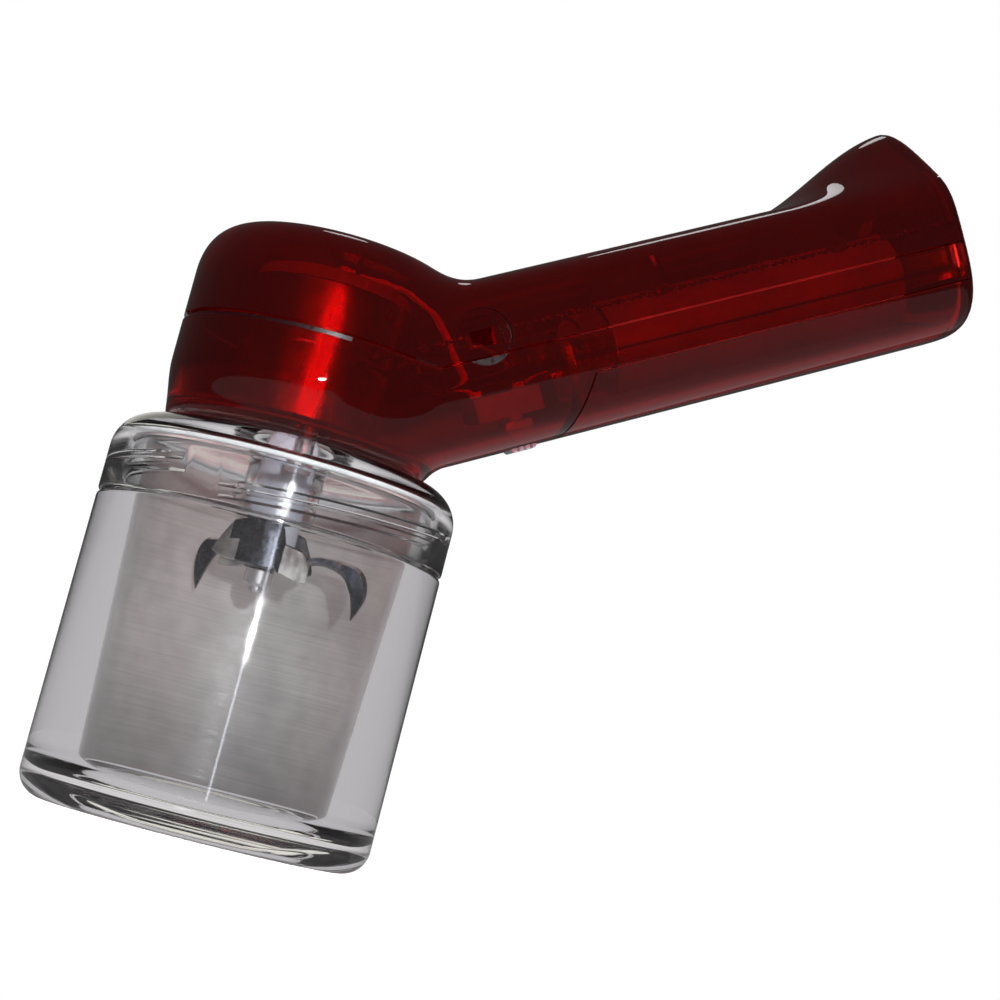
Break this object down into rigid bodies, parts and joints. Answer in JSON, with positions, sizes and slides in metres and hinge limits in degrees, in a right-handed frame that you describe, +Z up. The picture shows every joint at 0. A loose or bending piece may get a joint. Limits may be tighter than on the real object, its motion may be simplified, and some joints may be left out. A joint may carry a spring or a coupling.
{
  "type": "herb grinder",
  "caption": "Hand-held battery herb grinder: clear screw-on jar, claw blade in its mouth, translucent red motor head and angled battery handle.",
  "frame": {"origin": "centre of the jar's flat base", "axes": "+Z up the jar and blade axis, +X towards the handle, +Y to the left of someone looking along +X with +Z up"},
  "size_m": [0.1236, 0.052, 0.1347],
  "materials": {
    "red_plastic": "polished translucent dark red plastic",
    "clear_plastic": "polished clear plastic",
    "silicone": "soft satin",
    "grey_plastic": "satin",
    "blade_steel": "ground and part polished",
    "motor_steel": "bright plated",
    "spring_steel": "bright nickel plate",
    "ferrite": "dull sintered",
    "copper": "satin",
    "bronze": "sintered, oiled",
    "end_cap_plastic": "satin",
    "cell_jacket": "printed foil, left plain",
    "wire_red": "satin",
    "wire_black": "satin"
  },
  "bodies": {
    "housing": {"battery_contact": "spring_steel", "battery_front": "cell_jacket", "battery_rear": "cell_jacket", "battery_spring": "spring_steel", "brush_front": "copper", "brush_rear": "copper", "clear_lid": "clear_plastic", "lead_motor_to_contact": "wire_black", "lead_motor_to_switch": "wire_red", "lead_switch_to_spring": "wire_red", "lower_bearing": "bronze", "lower_housing": "red_plastic", "magnet_left": "ferrite", "magnet_right": "ferrite", "motor_can": "motor_steel", "motor_end_cap": "end_cap_plastic", "motor_screw_front": "motor_steel", "motor_screw_rear": "motor_steel", "motor_terminal_front": "copper", "motor_terminal_rear": "copper", "spring_plate": "spring_steel", "switch_body": "end_cap_plastic", "switch_terminal_front": "copper", "switch_terminal_rear": "copper", "upper_bearing": "bronze", "upper_housing": "red_plastic"},
    "rotor": {"motor_shaft": "motor_steel", "armature_core": "motor_steel", "armature_coil_1": "copper", "armature_coil_2": "copper", "armature_coil_3": "copper", "commutator": "copper", "shaft_sleeve": "grey_plastic", "blade_shank": "motor_steel", "claw_blade": "blade_steel", "wing_blade": "blade_steel", "blade_nut": "motor_steel"},
    "switch": {"switch_knob": "grey_plastic"},
    "door": {"battery_door": "red_plastic", "door_link_plate": "spring_steel", "door_spring": "spring_steel"},
    "seal_ring": {"jar_seal": "silicone"},
    "jar": {"jar": "clear_plastic"}
  },
  "joints": [
    {"name": "blade_spin", "type": "hinge", "parent": "housing", "child": "rotor", "pos_m": [0, 0, 0.05], "axis": [0, 0, 1], "continuous": true},
    {"name": "switch_slide", "type": "slide", "parent": "housing", "child": "switch", "axis": [-0.866, 0, -0.5], "range_m": [0, 0.0022]},
    {"name": "door_slide", "type": "slide", "parent": "housing", "child": "door", "axis": [0.866, 0, 0.5], "range_m": [0, 0.066]},
    {"name": "jar_turn", "type": "hinge", "parent": "housing", "child": "seal_ring", "pos_m": [0, 0, 0.05], "axis": [0, 0, -1], "range_deg": [0, 360]},
    {"name": "jar_drop", "type": "slide", "parent": "seal_ring", "child": "jar", "axis": [0, 0, -1], "range_m": [0, 0.0088]}
  ],
  "couplings": [
    {"joint": "jar_drop", "follows": "jar_turn", "m_per_rad": 0.0013846}
  ]
}
